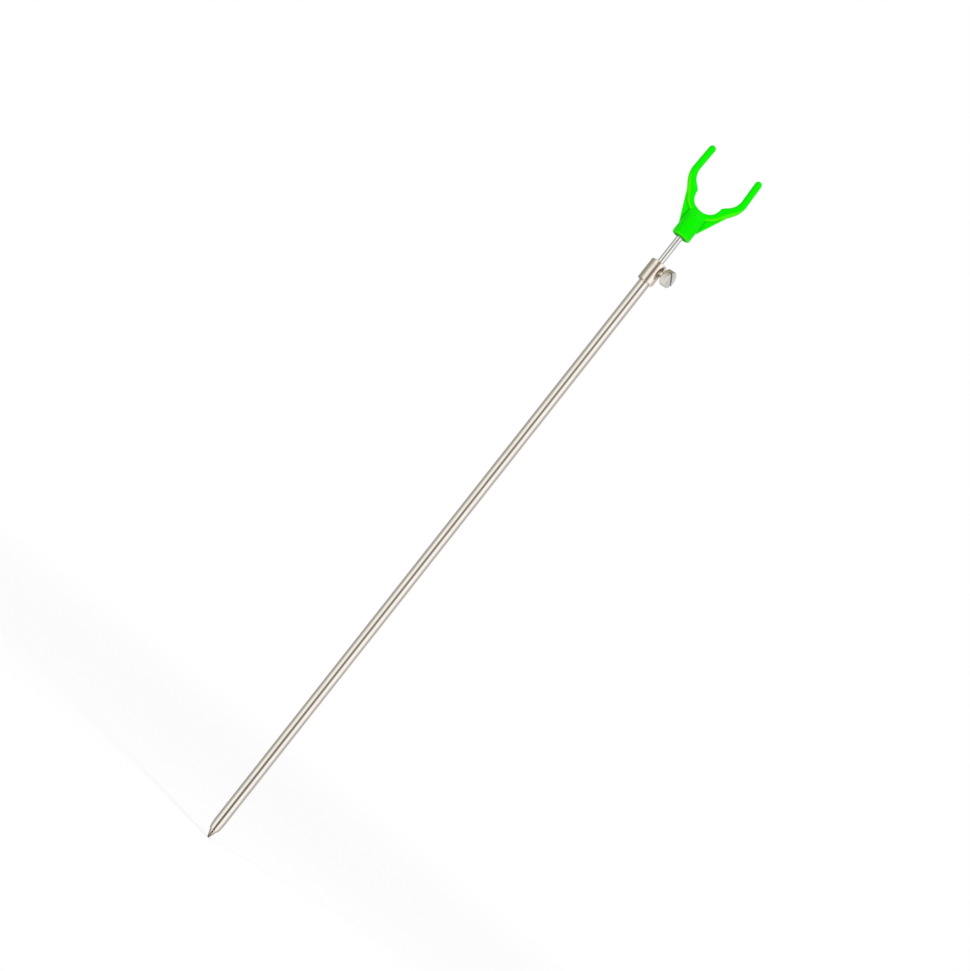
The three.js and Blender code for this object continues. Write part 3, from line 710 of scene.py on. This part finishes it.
def green_plastic(place):
    skin = cloudy(place, 2400, 2, 0.5)
    flow = cloudy(place, 90, 3, 0.5, 0.8)
    parting = ramped_mm(abs(measured(place, "Y")), 0.04, 0.12, 1, 0)
    # The flat underside of the foot is rougher, and painted dark as shade, most near the rod.
    rough_shaded_foot = (ramped_mm(measured(place, "Z"), REST_FOOT + 0.15, REST_FOOT + 0.5, 1, 0)
            * ramped_mm(off_centre(place), 5.2, 7.2, 1, 0.25))
    hollow, under = (place.node("Attribute", {"attribute_name": name}, output="Fac")
                     for name in ("hollow", "under"))
    fresh = blended(flow, GREEN_FRESH, GREEN_FLOWED)
    # Painted highlight: faces that turn partway down are paler and yellower.
    painted_highlight = blended(ramped(under, 0.08, 0.3) * ramped(under, 0.42, 0.62, 1, 0), fresh, GREEN_PAINTED_HIGHLIGHT)
    # Painted shade: darker in hollows.
    painted_shade = blended(ramped(hollow, 0.02, 0.13, 0, 0.8), painted_highlight, GREEN_PAINTED_SHADE)
    return {
        "Base Color": blended(0.75 * rough_shaded_foot, painted_shade, GREEN_FOOT_PAINTED_SHADE),
        "Roughness": 0.20 + 0.08 * skin + 0.05 * flow + 0.5 * rough_shaded_foot,
        "IOR": 1.25,
        "Specular Tint": GREEN_SHEEN,
        "Normal": raised(skin + 1.5 * parting, 0.012),
    }


boss = turned([(0, 0)] + bulge(BOSS_RADIUS - BOSS_FOOT_ROUND, 0, BOSS_RADIUS, BOSS_FOOT_ROUND, steps=8)
              + steps_up(BOSS_RADIUS, BOSS_TOP - BOSS_THINNING, BOSS_TOP, BOSS_STEP) + [(0, BOSS_TOP)])
for vert in boss.verts:
    share = max(0, 1 - (BOSS_TOP - vert.co.z / MM) / BOSS_THINNING)
    vert.co.y *= 1 - (1 - BOSS_TOP_DEPTH / BOSS_RADIUS) * share * share * (3 - 2 * share)
bar, web = bmesh.new(), bmesh.new()
fork_bar(bar)
fork_web(web)
cradle = round_bar(CRADLE_RADIUS, -CRADLE_REACH, CRADLE_REACH, CRADLE_SIDES)
cradle.transform(Matrix.Translation((0, 0, CRADLE_CENTRE * MM)) @ Matrix.Rotation(math.pi / 2, 4, "X"))
pocket = turned(
    [(0, -OVERCUT), (ROD_RADIUS + SOCKET_CLEARANCE, -OVERCUT), (ROD_RADIUS + SOCKET_CLEARANCE, POCKET_FOOT),
     (POCKET_RADIUS - POCKET_CHAMFER, POCKET_FOOT), (POCKET_RADIUS, POCKET_FOOT + POCKET_CHAMFER),
     (POCKET_RADIUS, RIB_FOOT), (RIB_RADIUS, RIB_FOOT), (RIB_RADIUS, RIB_TOP), (POCKET_RADIUS, RIB_TOP),
     (POCKET_RADIUS, POCKET_TOP - POCKET_CHAMFER), (POCKET_RADIUS - POCKET_CHAMFER, POCKET_TOP),
     (0, POCKET_TOP)], POCKET_SIDES)
fork = moulded(combined(combined(boss, "UNION", bar, web), "DIFFERENCE", cradle))
fork = marked(combined(fork, "DIFFERENCE", pocket))
fork.transform(Matrix.Translation((0, 0, REST_FOOT * MM)))
rest = finished(fork, "moulded_rest", finish("green_plastic_skin", green_plastic), crease=50)
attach(rest, "rod_and_rest")
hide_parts("rod_rest")


# Studio
# A pale floor that keeps the object's shadow, two tall softboxes in front, and a round light tent that
# only reflections see, bright in front of the softboxes and dim at the camera's slit and at its sides.
# The tent's tones go by degrees to the left and to the right of the camera.
FLOOR_SIZE, FLOOR_SIDES, FLOOR_FADE = 3.5, 96, (0.35, 1.3)
FLOOR_MATT, FLOOR_GLOW = 0.75, 0.52
TENT_RADIUS, TENT_HEIGHT, TENT_SIDES = 3.2, 8.0, 180
TENT_LEFT = [(180, 0.36), (150, 0.38), (130, 0.44), (105, 0.44), (92, 0.47), (83, 0.60), (75, 0.76),
             (67, 0.92), (57, 1.06), (47, 1.15), (38, 1.10), (31, 0.90), (22, 0.48), (17, 0.32),
             (12, 0.22), (7, 0.18)]
TENT_RIGHT = [(0, 0.18), (4, 0.25), (9, 0.40), (14, 0.62), (20, 0.88), (27, 1.08), (38, 1.20),
              (50, 1.18), (62, 1.04), (71, 0.88), (83, 0.65), (101, 0.50), (125, 0.52), (140, 0.74),
              (155, 0.98), (180, 0.75)]
LEFT_TINT, RIGHT_TINT = (1, 0.975, 0.93), (1, 0.975, 0.955)
SLIT_DARK, FOOT_DARK = colour(0.06, 0.035, 0.015), colour(0.06, 0.05, 0.04)
SOFTBOX_SIZE, SOFTBOX_DISTANCE, SOFTBOX_HEIGHT = (0.5, 1.5), 2.5, 0.85
SOFTBOX_BEARING, SOFTBOX_LEFT, SOFTBOX_RIGHT = math.radians(43), 13.0, 23.0
TOP_SIZE, TOP_AT, TOP_AIM, TOP_POWER = (1.2, 1.2), (0.2, -1.0, 2.6), (0, 0, 0.5), 7.0
SKY_LEVEL, GROUND_LEVEL = 0.42, 0.70
WHITE = colour(1, 1, 1)


def staged(bm, name, material):
    """A finished mesh that is part of the studio and not of the object."""
    thing = finished(bm, name, material)
    return thing


def glow_material(name, paint):
    """A material of plain light, or of light and a matt surface, that paint mixes for a place."""
    material = bpy.data.materials.new(name)
    material.use_nodes = True
    tree = material.node_tree
    tree.nodes.clear()
    made = tree.nodes.new("ShaderNodeOutputMaterial")
    surface = paint(Wire(tree).node("TexCoord", output="Object"))
    tree.links.new(surface.socket, made.inputs["Surface"])
    return material


def floor_paint(place):
    out = place.node("VectorMath", {"operation": "LENGTH"}, {0: place}, "Value")
    matt = place.node("BsdfDiffuse", {}, {"Color": colour(FLOOR_MATT, FLOOR_MATT, FLOOR_MATT)})
    glow = place.node("Emission", {}, {"Color": WHITE, "Strength": FLOOR_GLOW})
    white = place.node("Emission", {}, {"Color": WHITE, "Strength": 1.0})
    near = place.node("AddShader", {}, {0: matt, 1: glow})
    return place.node("MixShader", {}, {0: ramped(out, *FLOOR_FADE), 1: near, 2: white})


floor_disc = bmesh.new()
bmesh.ops.create_circle(floor_disc, cap_ends=True, segments=FLOOR_SIDES, radius=FLOOR_SIZE)
floor = staged(floor_disc, "floor", glow_material("floor_white", floor_paint))
floor.visible_glossy = floor.visible_diffuse = False


def tent_paint(place):
    x, y, z = (measured(place, axis) for axis in "XYZ")
    around = place.maths("ARCTAN2", x, 0 - y)
    stops = [(0.5 + side * degrees / 360, colour(*(tone * share for share in tint)))
             for side, tones, tint in ((-1, TENT_LEFT, LEFT_TINT), (1, TENT_RIGHT, RIGHT_TINT))
             for degrees, tone in tones]
    tone = around.node("ValToRGB", {"stops": stops}, {0: 0.5 + around / (2 * math.pi)})
    slit = ramped(z, -0.4, 0.2, 0.4, 0) * ramped(abs(around), 0.25, 0.45, 1, 0)
    foot = ramped(z, -2.4, -1.7, 0.85, 0) * ramped(abs(around), 0.35, 0.7, 1, 0)
    dim = blended(foot, blended(slit, tone, SLIT_DARK), FOOT_DARK)
    return place.node("Emission", {}, {"Color": dim, "Strength": 1.0})


tent_wall = bmesh.new()
bmesh.ops.create_cone(tent_wall, cap_ends=False, segments=TENT_SIDES, radius1=TENT_RADIUS,
                      radius2=TENT_RADIUS, depth=2 * TENT_HEIGHT)
tent = staged(tent_wall, "light_tent", glow_material("tent_tones", tent_paint))
tent.visible_camera = tent.visible_diffuse = tent.visible_shadow = tent.visible_transmission = False


def softbox(name, place, aim, size, power):
    """A lamp that faces a point, and that the camera and reflections don't see."""
    light = bpy.data.lights.new(name, "AREA")
    light.shape, light.size, light.size_y, light.energy = "RECTANGLE", *size, power
    lamp = bpy.data.objects.new(name, light)
    lamp.location = place
    lamp.rotation_euler = (Vector(aim) - Vector(place)).to_track_quat("-Z", "Y").to_euler()
    lamp.visible_camera = lamp.visible_glossy = False
    bpy.context.scene.collection.objects.link(lamp)


for name, bearing, power in (("softbox_left", -SOFTBOX_BEARING, SOFTBOX_LEFT),
                             ("softbox_right", SOFTBOX_BEARING, SOFTBOX_RIGHT)):
    at = (SOFTBOX_DISTANCE * math.sin(bearing), -SOFTBOX_DISTANCE * math.cos(bearing), SOFTBOX_HEIGHT)
    softbox(name, at, (0, 0, SOFTBOX_HEIGHT), SOFTBOX_SIZE, power)
softbox("softbox_top", TOP_AT, TOP_AIM, TOP_SIZE, TOP_POWER)

world = bpy.data.worlds.new("studio")
bpy.context.scene.world = world
world.use_nodes = True
world.node_tree.nodes.clear()
air = Wire(world.node_tree)
seen = air.node("LightPath", output="Is Camera Ray")
for kind in ("Is Glossy Ray", "Is Transmission Ray"):
    seen = air.maths("MAXIMUM", seen, air.node("LightPath", output=kind))
upward = measured(air.node("TexCoord", output="Generated"), "Z")
level = ramped(upward, -0.35, 0.35, GROUND_LEVEL, SKY_LEVEL)
backdrop = air.node("Background", {}, {"Color": WHITE, "Strength": seen + (1 - seen) * level})
world_out = world.node_tree.nodes.new("ShaderNodeOutputWorld")
world.node_tree.links.new(backdrop.socket, world_out.inputs["Surface"])


# Camera
# It looks at the middle of the stick from a little below, through a long lens, and is rolled so that
# the stick leans to the right.
LOOK_AT, CAMERA_DISTANCE = Vector((0.0002, 0, 0.3751)), 2.1
CAMERA_BELOW, CAMERA_ROLL = math.radians(2.75), math.radians(38.21)
SENSOR_WIDTH, FOCAL_LENGTH, CLIP_NEAR, CLIP_FAR = 36, 92.24, 0.05, 60
camera = bpy.data.objects.new("camera", bpy.data.cameras.new("camera"))
camera.data.sensor_width, camera.data.lens = SENSOR_WIDTH, FOCAL_LENGTH
camera.data.clip_start, camera.data.clip_end = CLIP_NEAR, CLIP_FAR
sight = Vector((0, math.cos(CAMERA_BELOW), math.sin(CAMERA_BELOW)))
level_view = sight.to_track_quat("-Z", "Y").to_matrix()
camera.location = LOOK_AT - CAMERA_DISTANCE * sight
camera.rotation_euler = (level_view @ Matrix.Rotation(CAMERA_ROLL, 3, "Z")).to_euler()
bpy.context.scene.collection.objects.link(camera)
bpy.context.scene.camera = camera
bpy.context.scene.view_settings.view_transform = "Standard"
